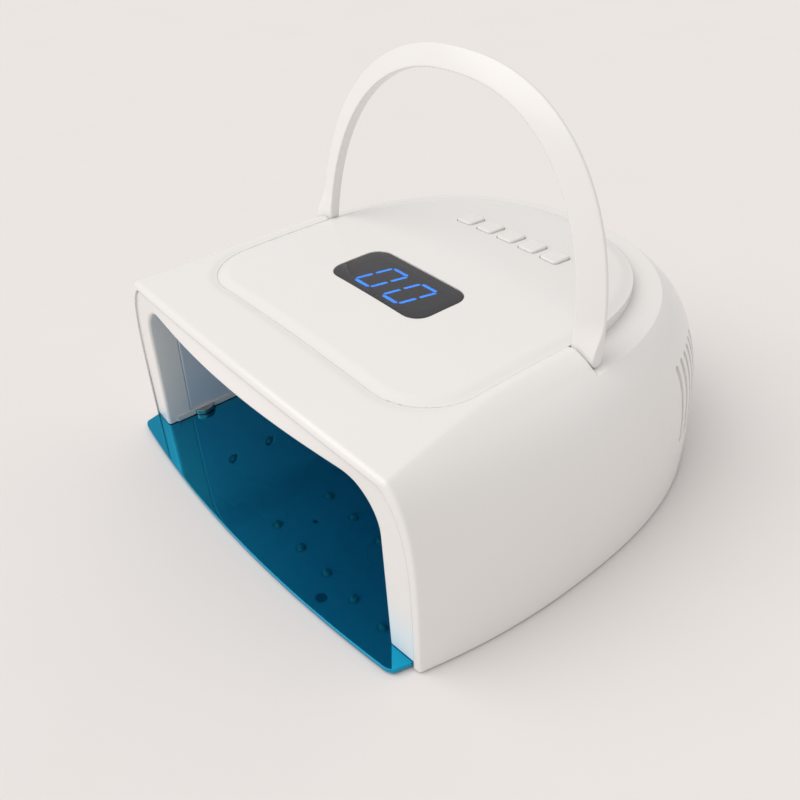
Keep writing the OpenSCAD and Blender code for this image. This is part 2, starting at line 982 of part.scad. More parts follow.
module battery_strap() {
    h = cell_rows * (cell_d + 1) + batt_wall;
    color([0.1, 0.1, 0.1])
        for (s = [-1, 1])
            translate([s * (cell_l / 2 + 2) - 5, batt_y - cell_d / 2 - batt_wall - 0.8, batt_z0])
                difference() {
                    cube([10, cell_d + 2 * batt_wall + 1.6, h + 1.2]);
                    translate([-1, 0.8 - 0.05, -1])
                        cube([12, cell_d + 2 * batt_wall + 0.1, h + 1.05]);
                }
}

module base_screws() {
    color([0.6, 0.6, 0.62])
        union() {
            base_boss_posts(screw_d / 2 - 0.3, frame_z0 + 1, base_z1 + 10);
            base_boss_posts(screw_head_d / 2, frame_z0 - 0.2, frame_z0);
        }
}

outer_shell();
top_panel();
front_frame();
base_frame();
reflector_liner();
base_plate();
plate_feet();
plate_keepers();
base_magnets();
handle();
handle_pin_left();
handle_pin_right();
hinge_bush_left();
hinge_bush_right();
display_window();
display_module();
digit_segments();
control_board();
key_switches();
key_10s();
key_30s();
key_60s();
key_99s();
key_power();
main_board();
main_board_parts();
charge_socket();
battery_cells();
battery_tray();
battery_strap();
led_board_top();
led_board_left();
led_board_right();
led_lenses();
hand_sensor();
base_screws();
control_board_screws();
led_board_screws();
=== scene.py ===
import json
from math import atan, cos, pi, radians, sin, tan
import bmesh
import bpy
import numpy as np
from mathutils import Matrix, Vector


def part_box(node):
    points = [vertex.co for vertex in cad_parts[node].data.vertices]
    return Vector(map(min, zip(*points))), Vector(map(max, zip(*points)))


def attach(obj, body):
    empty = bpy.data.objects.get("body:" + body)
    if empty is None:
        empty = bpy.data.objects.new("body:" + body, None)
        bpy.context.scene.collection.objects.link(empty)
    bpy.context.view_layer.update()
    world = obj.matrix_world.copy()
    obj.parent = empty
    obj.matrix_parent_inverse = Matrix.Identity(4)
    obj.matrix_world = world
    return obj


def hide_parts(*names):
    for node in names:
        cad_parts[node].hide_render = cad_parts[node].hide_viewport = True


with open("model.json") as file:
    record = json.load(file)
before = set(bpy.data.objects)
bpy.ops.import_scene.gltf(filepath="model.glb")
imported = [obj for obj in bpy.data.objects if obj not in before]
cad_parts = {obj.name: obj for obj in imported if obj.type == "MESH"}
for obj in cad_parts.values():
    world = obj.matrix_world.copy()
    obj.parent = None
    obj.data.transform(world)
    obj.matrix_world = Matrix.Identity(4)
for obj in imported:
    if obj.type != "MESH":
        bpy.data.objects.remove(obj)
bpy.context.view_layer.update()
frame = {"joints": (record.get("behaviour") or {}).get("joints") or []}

# ---- View ----
# The lamp is seen from above its front right corner, as by a person standing
# at the table, through a lens close to a normal one.
MM = 0.001
rim_bow = 4.9  # how far the front rim bows forward at the middle, mm
shell_low, shell_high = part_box("outer_shell")
front_y = shell_low.y + rim_bow * MM
turn, tilt, roll = radians(51.67), radians(36.35), radians(-1.97)
away = Vector((sin(turn) * cos(tilt), -cos(turn) * cos(tilt), sin(tilt)))
level = (-away).cross(Vector((0, 0, 1))).normalized()
upright = level.cross(-away)
side = cos(roll) * level + sin(roll) * upright
upward = -sin(roll) * level + cos(roll) * upright
eye = Vector((0.2636, front_y - 0.1279, 0.2771))
camera_data = bpy.data.cameras.new("view")
camera_data.sensor_width = 36.0
camera_data.lens = 38.9511
camera_data.clip_start = 0.01
camera = bpy.data.objects.new("view", camera_data)
bpy.context.scene.collection.objects.link(camera)
camera.matrix_world = Matrix(((side.x, upward.x, away.x, eye.x), (side.y, upward.y, away.y, eye.y),
                              (side.z, upward.z, away.z, eye.z), (0, 0, 0, 1)))
bpy.context.scene.camera = camera
bpy.context.scene.view_settings.view_transform = "Standard"


# ---- Table ----
# A table top covered with matt off-white paper. It takes the lamp's soft shadow
# and shows faintly in the glossy plastic.
def linear(code):
    """sRGB hex as linear RGBA: c / 12.92 for a channel c below 0.04045, else ((c + 0.055) / 1.055) ^ 2.4."""
    c = np.array([int(code[i:i + 2], 16) for i in (0, 2, 4)]) / 255.0
    rgb = np.where(c <= 0.04045, c / 12.92, ((c + 0.055) / 1.055) ** 2.4)
    return (*rgb.tolist(), 1.0)


def add(mat, kind, values=None, links=None, **settings):
    """Adds one node to a material: its settings, its input values, and links into its inputs."""
    node = mat.node_tree.nodes.new(kind)
    for name, value in settings.items():
        setattr(node, name, value)
    for name, value in (values or {}).items():
        node.inputs[name].default_value = value
    for name, source in (links or {}).items():
        mat.node_tree.links.new(source, node.inputs[name])
    return node


def blank(name):
    """A node material with no nodes yet."""
    mat = bpy.data.materials.new(name)
    mat.use_nodes = True
    mat.node_tree.nodes.clear()
    return mat


# Uncoated paper: quite matt, with cloudy fibre variation about 90 mm across.
paper = blank("uncoated_paper")
where = add(paper, "ShaderNodeTexCoord")
cloud = add(paper, "ShaderNodeTexNoise", {"Scale": 11.0, "Detail": 2.0}, {"Vector": where.outputs["Object"]})
tone = add(paper, "ShaderNodeMix", {6: linear("EBE8E6"), 7: linear("E9E5E3")}, {0: cloud.outputs[0]},
           data_type="RGBA")
matt = add(paper, "ShaderNodeBsdfPrincipled", {"Roughness": 0.95, "Specular IOR Level": 0.1},
           {"Base Color": tone.outputs[2]})
add(paper, "ShaderNodeOutputMaterial", {}, {"Surface": matt.outputs[0]})


def grid_faces(rows, cols, wrap=False):
    """Quads of a grid of rows x cols points, numbered row by row; wrap joins the last column to the first."""
    i, j = np.meshgrid(np.arange(rows - 1), np.arange(cols if wrap else cols - 1), indexing="ij")
    a, b = i * cols + j, i * cols + (j + 1) % cols
    return np.stack([a, b, b + cols, a + cols], -1).reshape(-1, 4)


floor_half, floor_n = 4.0, 9
floor_line = np.linspace(-floor_half, floor_half, floor_n)
floor_x, floor_y = np.meshgrid(floor_line, floor_line, indexing="ij")
floor_mesh = bpy.data.meshes.new("table_paper")
floor_mesh.from_pydata(np.stack([floor_x, floor_y, 0 * floor_x], -1).reshape(-1, 3).tolist(), [],
                       grid_faces(floor_n, floor_n)[:, ::-1].tolist())
floor_mesh.materials.append(paper)
floor = bpy.data.objects.new("table_paper", floor_mesh)
bpy.context.scene.collection.objects.link(floor)

# ---- Light ----
# A pale room, and soft daylight from the upper left in front of the lamp: the top and
# the front face are bright and the near side wall lies in gentle shade.
room = bpy.data.worlds.new("pale_room")
room.use_nodes = True
room.node_tree.nodes["Background"].inputs[0].default_value = linear("F6F4F3")
room.node_tree.nodes["Background"].inputs[1].default_value = 0.70
bpy.context.scene.world = room
daylight = bpy.data.lights.new("daylight", "SUN")
daylight.energy = 1.45
daylight.angle = radians(60)
daylight.color = linear("FFFCFA")[:3]
window_light = bpy.data.objects.new("daylight", daylight)
bpy.context.scene.collection.objects.link(window_light)
window_light.rotation_euler = Vector((0.36, 0.62, -0.95)).to_track_quat("-Z", "Y").to_euler()


# ---- Outer shell ----
# One glossy white ABS moulding, 3 mm thick, with soft shoulders. It is open at the
# front and below, has a flat ledge behind for the folded handle, and screws to the
# base frame from below.
panel_low, panel_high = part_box("top_panel")
hinge = next(j for j in frame["joints"] if j["name"] == "handle_fold")
pivot_y, pivot_z = hinge["pos_m"][1] / MM, hinge["pos_m"][2] / MM
wall = 3.0
swell = 9.3  # of the side walls, at their widest
swell_reach = 0.325  # share of the depth from the front rim to the widest place
swell_shift = 17.0  # of that place, from the table back to the shoulder
rear_lean = 7.0  # of the rear wall, up to the shoulder
half = (shell_high.x - shell_low.x) / 2 / MM - swell
y_front, y_rear = front_y / MM, shell_high.y / MM
depth = y_rear - y_front
body_h = panel_high.z / MM
form_h = body_h + 0.5
crown_r, crown_y = 1100.0, y_front + 85.0
ledge = panel_low.z / MM
roof = ledge - 2.8
rim_r = (half ** 2 + rim_bow ** 2) / (2 * rim_bow)
arch_power = 2.3  # of the superellipse that the handle and the panel's rear follow
spring_drop = 6.5  # from the pivot to the line that the handle's arch springs from
spring_y = pivot_y - spring_drop
panel_half = (panel_high.x - panel_low.x) / 2 / MM
panel_back = panel_high.y / MM - spring_y
panel_front = panel_low.y / MM
panel_corner = 28.0
seam, groove = 0.3, 1.0
foot_r, foot_gap = 2.9, 0.6
crisp = radians(32.0)  # an edge that turns by more than this stays a crease


def crown(x, y):
    """Height of the domed top: a sphere of radius crown_r with its highest point over (0, crown_y)."""
    return body_h - crown_r + np.sqrt(crown_r ** 2 - x ** 2 - (y - crown_y) ** 2)


def rim(x, behind=0.0):
    """Y of the front rim: an arc of radius rim_r, furthest forward at x = 0."""
    return y_front - rim_bow + rim_r - np.sqrt(rim_r ** 2 - x ** 2) + behind


def panel_outline(grow, n=120):
    """Outline of the raised top panel, moved out by grow.

    Behind spring_y it is |x / a|^2.3 + |y / b|^2.3 = 1, in front a rectangle with 28 mm corners.
    """
    a = np.linspace(0, pi, n)
    c, s, w = np.cos(a), np.sin(a), panel_half + grow
    p = 2 / arch_power
    rear = np.column_stack([np.sign(c) * w * np.abs(c) ** p, spring_y + (panel_back + grow) * s ** p])
    r, b, low = panel_corner + grow, np.linspace(0, pi / 2, n // 4), panel_front - grow
    down = np.linspace(spring_y, low + r, 26)[1:-1]
    across = np.linspace(-w + r, w - r, 62)[1:-1]
    left = np.column_stack([-w + r - r * np.cos(b), low + r - r * np.sin(b)])
    right = np.column_stack([w - r + r * np.sin(b), low + r - r * np.cos(b)])
    return np.concatenate([rear, np.column_stack([np.full(len(down), -w), down]), left,
                           np.column_stack([across, np.full(len(across), low)]), right,
                           np.column_stack([np.full(len(down), w), down[::-1]])])


def dip(distance, width):
    """Depth of the soft groove along the seam: groove * (1 - 3 t^2 + 2 t^3), t = distance / width."""
    t = np.clip(distance / width, 0, 1)
    return groove * (1 - 3 * t ** 2 + 2 * t ** 3)


def shell_rings(q, grow, drop, rounding=0.0, side_n=60, rear_n=84):
    """Plan rings of the body, one for each share q of its half width: 1 at the table, 0 on the middle line.

    Height follows (z / form_h)^6 + q^6 = 1. A ring starts on the front rim, runs back along a swollen
    side, x = width + swell * (1 - ((widest - y) / reach)^2), then round the superellipse
    |x|^p + |y|^p = 1 with p = 2.5 - 0.25 lean, and comes forward again mirrored. Heights stay under
    the crown. Within r of the rim the skin sinks along its normal by r - sqrt(r^2 - (r - d)^2), d behind it.
    """
    z = form_h * (1 - np.minimum(q, 1) ** 6) ** (1 / 6)
    lean = (z / (body_h - 8)) ** 3
    reach = swell_reach * depth
    widest = y_front + reach + swell_shift * lean
    out = swell * np.maximum(0, 1 - lean)
    width = np.maximum(half * q + grow * np.minimum(1, q * 4), 0)
    x0 = width.copy()
    for _ in range(25):
        ahead = widest - rim(np.clip(x0, 0, half + 5))
        x0 = np.maximum(width + out * (1 - (ahead / reach) ** 2), 0)
    y0 = rim(x0)
    near = np.array([0, 0.1, 0.3, 0.6, 1.0, 1.5, 2.0, 2.6])[None, :]
    u = np.linspace(0, 1, side_n)[None, :-1]
    ya = np.concatenate([y0[:, None] + near, y0[:, None] + 3.2 + (widest - y0 - 3.2)[:, None] * u], 1)
    xa = width[:, None] + out[:, None] * (1 - ((widest[:, None] - ya) / reach) ** 2)
    a = np.linspace(0, pi / 2, rear_n)[None, :]
    power = (2 / (2.5 - 0.25 * lean))[:, None]
    xb = (width + out)[:, None] * np.maximum(np.cos(a), 0) ** power
    xb[:, -1] = 0
    rear = y_rear - half * (1 - q) - rear_lean * lean + grow
    yb = widest[:, None] + (rear - widest)[:, None] * np.sin(a) ** power
    x, y = np.concatenate([xa, xb], 1), np.concatenate([ya, yb], 1)
    x, y = np.concatenate([x, -x[:, -2::-1]], 1), np.concatenate([y, y[:, -2::-1]], 1)
    height = np.minimum(np.maximum(z[:, None] - drop, 1.0), crown(x, y) - drop)
    if rounding:
        nx, nz = (np.minimum(q, 1) ** 5 / half)[:, None], ((z / form_h) ** 5 / form_h)[:, None]
        nx, nz = nx / np.hypot(nx, nz), nz / np.hypot(nx, nz)
        r = 1.0 + (rounding - 1.0) * nz ** 2
        d = np.clip(y - rim(np.clip(x, -half - 9, half + 9)), 0, r)
        sink = r - np.sqrt(r ** 2 - (r - d) ** 2)
        x, height = x - np.sign(x) * nx * sink, height - nz * sink
    return np.stack([x, y, height], -1)


def solid(name, points, faces):
    """Mesh in metres from points in mm: doubles merged, faces outwards, sharp edges kept crisp."""
    mesh = bpy.data.meshes.new(name)
    mesh.from_pydata((np.asarray(points, float).reshape(-1, 3) * MM).tolist(), [], faces)
    work = bmesh.new()
    work.from_mesh(mesh)
    bmesh.ops.remove_doubles(work, verts=work.verts, dist=2e-6)
    bmesh.ops.dissolve_degenerate(work, edges=work.edges, dist=1e-6)
    bmesh.ops.recalc_face_normals(work, faces=work.faces)
    work.to_mesh(mesh)
    work.free()
    mesh.polygons.foreach_set("use_smooth", np.ones(len(mesh.polygons), bool))
    mesh.set_sharp_from_angle(angle=crisp)
    return mesh


def closed_faces(rows, cols):
    """Faces of a closed skin: a grid wrapped round, with flat ends on its first and last rows."""
    last = (rows - 1) * cols
    return grid_faces(rows, cols, True).tolist() + [list(range(cols)), list(range(last, last + cols))]


def prism(outline, low, high):
    """Upright closed prism over a flat outline of points in mm."""
    n = len(outline)
    points = np.concatenate([np.column_stack([outline, np.full(n, z)]) for z in (low, high)])
    return solid("prism", points, closed_faces(2, n))


def slot_across(length, width, z_low, z_high, n=12):
    """Outline of a slot with round ends, along Z, and its length across: a stadium swept straight along X."""
    b = np.linspace(0, pi, n)
    r = width / 2
    ring = np.concatenate([np.column_stack([r * np.cos(b), z_high - r + r * np.sin(b)]),
                           np.column_stack([-r * np.cos(b), z_low + r - r * np.sin(b)])])
    near = np.column_stack([np.full(2 * n, -length / 2), ring])
    return np.concatenate([near, near + [length, 0, 0]]), 2 * n


def turned(points, angle, x, y):
    """Points turned by angle degrees about Z and moved to (x, y)."""
    c, s = cos(radians(angle)), sin(radians(angle))
    p = np.asarray(points)
    return np.column_stack([p[:, 0] * c - p[:, 1] * s + x, p[:, 0] * s + p[:, 1] * c + y, p[:, 2]])


def tube(radius, start, end, axis, n=48):
    """Closed cylinder of one radius between two places on an axis-parallel line."""
    t = np.linspace(0, 2 * pi, n, endpoint=False)
    ring = np.zeros((n, 3))
    ring[:, (axis + 1) % 3], ring[:, (axis + 2) % 3] = radius * np.cos(t), radius * np.sin(t)
    points = np.concatenate([ring + start, ring + end])
    return solid("tube", points, closed_faces(2, n))


def carve(mesh, tools):
    """A closed mesh with each of the closed tools cut out of it exactly, one after the other."""
    body = bpy.data.objects.new("body_in_work", mesh)
    helpers = [bpy.data.objects.new("tool_%d" % k, tool) for k, tool in enumerate(tools)]
    for item in [body, *helpers]:
        bpy.context.scene.collection.objects.link(item)
    for helper in helpers:
        step = body.modifiers.new(helper.name, "BOOLEAN")
        step.operation, step.solver, step.object = "DIFFERENCE", "EXACT", helper
    bpy.context.view_layer.update()
    done = bpy.data.meshes.new_from_object(body.evaluated_get(bpy.context.evaluated_depsgraph_get()))
    for item in [body, *helpers]:
        bpy.data.objects.remove(item)
    done.polygons.foreach_set("use_smooth", np.ones(len(done.polygons), bool))
    done.set_sharp_from_angle(angle=crisp)
    return done


def fit(name, mesh, finish, body, nodes):
    """Puts a finished mesh in the scene, riding on its body in place of its CAD nodes."""
    piece = bpy.data.objects.new(name, mesh)
    bpy.context.scene.collection.objects.link(piece)
    mesh.materials.clear()
    mesh.materials.append(finish)
    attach(piece, body)
    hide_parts(*nodes)


def plastic(name, one, two, rough, patch_mm, relief_mm=0.004, grain_mm=0.6, edge_mm=0.5, **shader):
    """Moulded plastic and the like: two close tones in soft patches, a fine relief and rounded edges."""
    mat = blank(name)
    where = add(mat, "ShaderNodeTexCoord")
    patch = add(mat, "ShaderNodeTexNoise", {"Scale": 1000.0 / patch_mm, "Detail": 2.0},
                {"Vector": where.outputs["Object"]})
    tone = add(mat, "ShaderNodeMix", {6: linear(one), 7: linear(two)}, {0: patch.outputs[0]},
               data_type="RGBA")
    gloss = add(mat, "ShaderNodeMapRange",
                {"From Min": 0.3, "From Max": 0.7, "To Min": rough * 0.9, "To Max": rough * 1.1},
                {"Value": patch.outputs[0]})
    grain = add(mat, "ShaderNodeTexNoise", {"Scale": 1000.0 / grain_mm, "Detail": 3.0},
                {"Vector": where.outputs["Object"]})
    edge = add(mat, "ShaderNodeBevel", {"Radius": edge_mm * MM}, samples=6)
    relief = add(mat, "ShaderNodeBump", {"Strength": 1.0, "Distance": relief_mm * MM},
                 {"Height": grain.outputs[0], "Normal": edge.outputs[0]})
    surface = add(mat, "ShaderNodeBsdfPrincipled", shader,
                  {"Base Color": tone.outputs[2], "Roughness": gloss.outputs[0], "Normal": relief.outputs[0]})
    add(mat, "ShaderNodeOutputMaterial", {}, {"Surface": surface.outputs[0]})
    return mat


low = form_h * np.linspace(0, 0.45, 10)
bend = np.linspace(np.arcsin(0.45 ** 3), radians(80), 60)[1:]
q = np.concatenate([(1 - (low / form_h) ** 6) ** (1 / 6), np.cos(bend) ** (1 / 3)])
q = np.concatenate([q, np.linspace(q[-1], 0, 90)[1:]])
outer, inner = shell_rings(q, 0.0, 0.0, 2.7), shell_rings(q, -wall, wall)
outer[0, :, 2] = inner[0, :, 2] = 1.0
edge_line = panel_outline(seam / 2)
flat = outer[..., :2].reshape(-1, 1, 2)
gap = np.concatenate([np.hypot(*np.moveaxis(flat[k:k + 4000] - edge_line[None], -1, 0)).min(1)
                      for k in range(0, len(flat), 4000)]).reshape(outer.shape[:2])
on_top = np.clip((outer[..., 2] - (body_h - 9)) / 4, 0, 1)
outer[..., 2] -= dip(gap, 4.0) * on_top
back_of_rim = np.clip((inner[..., 1] - (y_front + 14)) / 4.0, 0, 1)
levelled = inner[..., 2] * (1 - back_of_rim) + roof * back_of_rim
inner[..., 2] = np.where(inner[..., 2] > roof, levelled, inner[..., 2])
rows, cols = outer.shape[:2]
faces = grid_faces(rows, cols)
shift = rows * cols
foot_edge = np.arange(cols)
rim_edge = np.arange(rows) * cols
walls = [np.stack([e[:-1], e[1:], e[1:] + shift, e[:-1] + shift], -1)
         for e in (foot_edge, rim_edge, rim_edge + cols - 1)]
shell_mesh = solid("shell_skin", np.concatenate([outer.reshape(-1, 3), inner.reshape(-1, 3)]),
                   np.concatenate([faces, faces[:, ::-1] + shift, *walls]).tolist())
step_y = pivot_y - foot_r - foot_gap
side_block = np.array([[-130, step_y], [130, step_y], [130, 140], [-130, 140]])
# The cutters end at different heights above the crown, so that no two ends share a plane.
cuts = [prism(panel_outline(0.5 * seam), ledge, 130), prism(side_block, ledge, 131)]
cuts.append(prism(panel_outline(-wall), roof - 3, ledge + 2))
vents, vent_pitch = 6, 6.0
for mirrored in (1, -1):
    for k in range(vents):
        vent, ring = slot_across(60, 2.6, 28, 68)
        vent[:, 1] += (k - (vents - 1) / 2) * vent_pitch
        vent = turned(vent + [10, 0, 0], 44, half - 12, y_rear - 57)
        vent[:, 0] *= mirrored
        cuts.append(solid("vent", vent, closed_faces(2, ring)))
socket_z, socket_r = 26.0, 4.5
cuts.append(tube(socket_r, [0, y_rear - 20, socket_z], [0, y_rear + 10, socket_z], 1))
shell_mesh = carve(shell_mesh, cuts)

# ABS from a polished tool: glossy, with the faint long ripple and slight tone drift of a thick moulding.
white_abs = plastic("white_abs_gloss_moulded", "EEECEA", "EBE9E6", 0.24, 60, 0.02, 18, 0.6, IOR=1.53)
fit("outer_shell_skin", shell_mesh, white_abs, "lamp_body", ["outer_shell"])


# ---- Base frame ----
# A flat white ABS ring that closes the shell from below round the cavity. Screws go
# up through it into the shell's bosses, and its magnets hold the mirror plate.
def dress(node, finish):
    """Gives a CAD node its finish."""
    mesh = bpy.data.objects[node].data
    mesh.materials.clear()
    mesh.materials.append(finish)


# ABS from a lightly sparked tool: satin, because it faces the table.
satin_abs = plastic("white_abs_satin_moulded", "E2E0DD", "DEDCD8", 0.45, 30, 0.03, 0.8, 0.4)
dress("base_frame", satin_abs)
# Sintered magnets with nickel plate: a bright metal with a slight orange-peel.
nickel = plastic("nickel_plated_magnet", "C9C6C0", "BDBAB4", 0.22, 5, 0.01, 0.5, 0.3, Metallic=1.0)
dress("base_magnets", nickel)
# Zinc-plated screws: bluish, a little cloudy.
zinc = plastic("zinc_plated_screw", "B4B8BC", "9EA2A8", 0.34, 2, 0.01, 0.4, 0.2, Metallic=1.0)
for node in ("base_screws", "control_board_screws", "led_board_screws"):
    dress(node, zinc)

# ---- Front frame ----
# The white surround of the hand opening, a separate glossy ABS moulding pressed into
# the shell's rim. Its face leans inwards and turns over a soft edge into a short collar.
frame_low, frame_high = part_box("front_frame")
frame_z0 = frame_low.z / MM
collar_end = frame_high.y / MM
open_half, open_top_half, open_h, open_r = 91.0, 87.5, 78.0, 20.0


def arch_line(w0, w1, h, r, n=24):
    """Arched outline from the table line up: straight drafted sides and round top corners of radius r."""
    draft = atan((w0 - w1) / h)
    zc = h - r
    xc = w0 - zc * tan(draft) - r / cos(draft)
    a = np.linspace(draft, pi / 2, n)
    arc = np.column_stack([xc + r * np.cos(a), zc + r * np.sin(a)])
    legs = np.column_stack([np.linspace(w0, arc[0, 0], 20)[:-1], np.linspace(0, arc[0, 1], 20)[:-1]])
    beam = np.column_stack([np.linspace(arc[-1, 0], 0, 20)[1:], np.full(19, h)])
    right = np.concatenate([legs, arc, beam])
    return np.concatenate([right, right[-2::-1] * [-1, 1]])


def seen_from(line, angles):
    """Points where rays at these angles from the middle of the frame's foot line meet an outline."""
    lean_angle = np.arctan2(line[:, 1] - frame_z0, line[:, 0])
    reach = np.hypot(line[:, 0], line[:, 1] - frame_z0)
    order = np.argsort(lean_angle)
    fine = np.interp(angles, lean_angle[order], reach[order])
    return np.column_stack([fine * np.cos(angles), frame_z0 + fine * np.sin(angles)])


# Half of the shell's rim: up the side by height, then across the top by width.
side_rise, top_share = np.linspace(0, 0.995, 400), np.linspace(0.45, 0, 200)
rise = form_h * np.concatenate([side_rise, (1 - top_share ** 6) ** (1 / 6)])
span = half * np.concatenate([(1 - side_rise ** 6) ** (1 / 6), top_share])
span_in = np.maximum(span - wall - seam, 0)
right_line = np.column_stack([span_in, np.minimum(rise, crown(span_in, rim(span_in))) - wall - seam])
outer_line = np.concatenate([right_line, right_line[-2::-1] * [-1, 1]])
rays = np.linspace(0, pi, 481)
seat_line = seen_from(outer_line[outer_line[:, 1] > frame_z0 - 3], rays)
mouth = seen_from(arch_line(open_half, open_top_half, open_h, open_r), rays)
across = seat_line - mouth
length = np.hypot(across[:, 0], across[:, 1])
fillet, face, rib = 1.8, 0.8, 2.6
# The brow: over the mouth the face bulges forward by up to 3.4 mm towards its inner edge, within 76 mm
# of the middle and from 52 mm above the table.
brow_high, brow_half, brow_z = 3.4, 76, 52
brow = brow_high * np.clip(1 - (mouth[:, 0] / brow_half) ** 2, 0, 1) ** 1.2
brow = brow * np.clip((mouth[:, 1] - brow_z) / 24, 0, 1) ** 2
# A row of the profile is (share of the way from the mouth to the seam, mm out from the mouth, mm behind
# the rim).
turn_over = np.linspace(0, pi / 2, 7)
profile = [(1, 0, face + 0.6), (1, 0, face)] + [(t, 0, face) for t in (0.93, 0.8, 0.6, 0.42)]
profile += [(0, fillet * (1 - sin(t)), face + fillet * (1 - cos(t))) for t in turn_over]
profile += [(0, 0, None), (0, rib, None), (0, rib, face + rib + 3), (1, 0, face + rib)]
loops = []
for portion, out, behind in profile:
    xz = mouth + across * np.minimum(portion + out / length, 1)[:, None]
    y = np.full(len(rays), collar_end) if behind is None else rim(xz[:, 0], behind)
    if behind is not None and behind < face + fillet + 0.01:
        y = y - brow * (1 - np.minimum(portion + out / length, 1)) ** 1.3
    loops.append(np.column_stack([xz[:, 0], y, xz[:, 1]]))
loops = np.stack(loops, 1)
frame_mesh = solid("front_frame_skin", loops, closed_faces(*loops.shape[:2]))
fit("front_frame_skin", frame_mesh, white_abs, "lamp_body", ["front_frame"])

# ---- Mirrored cavity ----
# A bright liner behind the collar, metallised under a milky lacquer, sends the light back onto the nails.
# The lamp LEDs sit on aluminium boards behind it and look through holes.
mirror_liner = plastic("metallised_liner", "EEF1F6", "E6EAF1", 0.26, 40, 0.03, 9, 1.6, Metallic=0.25)
dress("reflector_liner", mirror_liner)
# White solder resist on aluminium boards.
led_white = plastic("white_solder_resist", "D9DCDD", "CFD3D5", 0.4, 12, 0.01, 0.5, 0.2)
for node in ("led_board_top", "led_board_left", "led_board_right"):
    dress(node, led_white)
# Clear epoxy domes over yellowish LED chips: they look dull and slightly green unlit.
lens_epoxy = plastic("clear_epoxy_dome", "B9BEB8", "A3AAA4", 0.08, 3, 0.004, 0.5, 0.1, IOR=1.52)
dress("led_lenses", lens_epoxy)
# Infrared window over the hand sensor: pale grey-violet acrylic.
sensor_acrylic = plastic("infrared_acrylic", "98909A", "8C848E", 0.12, 4, 0.004, 0.5, 0.2)
dress("hand_sensor", sensor_acrylic)

# ---- Mirror base plate ----
# A thin steel sheet with a blue mirror film, bowed out at the front, held up by
# magnets. Four rubber feet are glued under it.
# Metallised polyester film: a deep blue mirror with a pale cut edge.
blue_mirror = blank("blue_mirror_film")
where = add(blue_mirror, "ShaderNodeTexCoord")
wave = add(blue_mirror, "ShaderNodeTexNoise", {"Scale": 18.0, "Detail": 1.0},
           {"Vector": where.outputs["Object"]})
film = add(blue_mirror, "ShaderNodeMix", {6: linear("1F9FC6"), 7: linear("1C98C0")}, {0: wave.outputs[0]},
           data_type="RGBA")
rounded = add(blue_mirror, "ShaderNodeBevel", {"Radius": 0.5 * MM}, samples=6)
sheet_wave = add(blue_mirror, "ShaderNodeBump", {"Strength": 1.0, "Distance": 0.03 * MM},
                 {"Height": wave.outputs[0], "Normal": rounded.outputs[0]})
mirror = add(blue_mirror, "ShaderNodeBsdfPrincipled", {"Metallic": 1.0, "Roughness": 0.04},
             {"Base Color": film.outputs[2], "Normal": sheet_wave.outputs[0]})
add(blue_mirror, "ShaderNodeOutputMaterial", {}, {"Surface": mirror.outputs[0]})
dress("base_plate", blue_mirror)
# Ground steel keepers let into the plate.
steel = plastic("ground_steel", "A9A8A6", "9B9A99", 0.3, 3, 0.01, 0.4, 0.2, Metallic=1.0)
dress("plate_keepers", steel)
# Moulded rubber feet: matt, with fine grit.
rubber = plastic("moulded_rubber", "26262A", "1F1F22", 0.8, 6, 0.05, 0.5, 0.5)
dress("plate_feet", rubber)

# ---- Battery and main board ----
# Behind the cavity: shrink-wrapped cells in a black tray under tape straps, and the
# upright main board, whose charging socket looks out through the rear wall.
# Printed circuit board: green solder resist over glass weave.
green_board = plastic("green_solder_resist", "1E5A3A", "174B31", 0.3, 8, 0.01, 0.7, 0.2)
for node in ("control_board", "main_board"):
    dress(node, green_board)
# Black nylon and phenolic parts, matt from the tool.
black_nylon = plastic("black_nylon_moulded", "1B1B1D", "232326", 0.5, 6, 0.02, 0.5, 0.3)
for node in ("key_switches", "main_board_parts", "charge_socket", "battery_tray"):
    dress(node, black_nylon)
# PVC shrink wrap: blue, tight and glossy.
shrink_wrap = plastic("pvc_shrink_wrap", "2F6FAE", "2A66A3", 0.2, 15, 0.02, 6, 0.4)
dress("battery_cells", shrink_wrap)
# Woven glass-cloth tape round the tray.
tape = plastic("woven_tape", "17171A", "26262B", 0.7, 1.5, 0.08, 1.2, 0.2)
dress("battery_strap", tape)

# ---- Top panel ----
# A separate glossy white ABS cover, flush with the crown, that drops softly towards
# its seam. It carries the display, the keys and the handle's hinge bushes.
panel_wall = 2.5
insets = np.concatenate([[-0.45 * seam, 0.25, 0.6, 1.0], np.linspace(1.5, 6.5, 9), [9.0, 14.0, 20.0]])
rings = [panel_outline(-d) for d in insets]
middle = np.array([0.0, spring_y + 8])
fill_n = 34
rings += [middle + (rings[-1] - middle) * k for k in np.linspace(0.96, 0, fill_n)]
top_xy = np.stack(rings)
drop = dip(np.concatenate([insets, np.full(fill_n, 50.0)]), 6.0)
top_xyz = np.dstack([top_xy, crown(top_xy[..., 0], top_xy[..., 1]) - drop[:, None]])
skirt = panel_outline(0.45 * seam)
skirt_rows = [np.column_stack([skirt, np.full(len(skirt), z)]) for z in (ledge, ledge + 3)]
under = np.stack([panel_outline(-panel_wall), panel_outline(-panel_wall - 4), *rings[len(insets) - 2:]])
under_z = crown(under[..., 0], under[..., 1]) - panel_wall - 1.0
foot_ring = np.column_stack([under[0], np.full(under.shape[1], ledge)])
panel_rows = np.concatenate([top_xyz[::-1], np.stack(skirt_rows[::-1]), foot_ring[None],
                             np.dstack([under, under_z])])
panel_mesh = solid("top_panel_skin", panel_rows, grid_faces(*panel_rows.shape[:2], True).tolist())


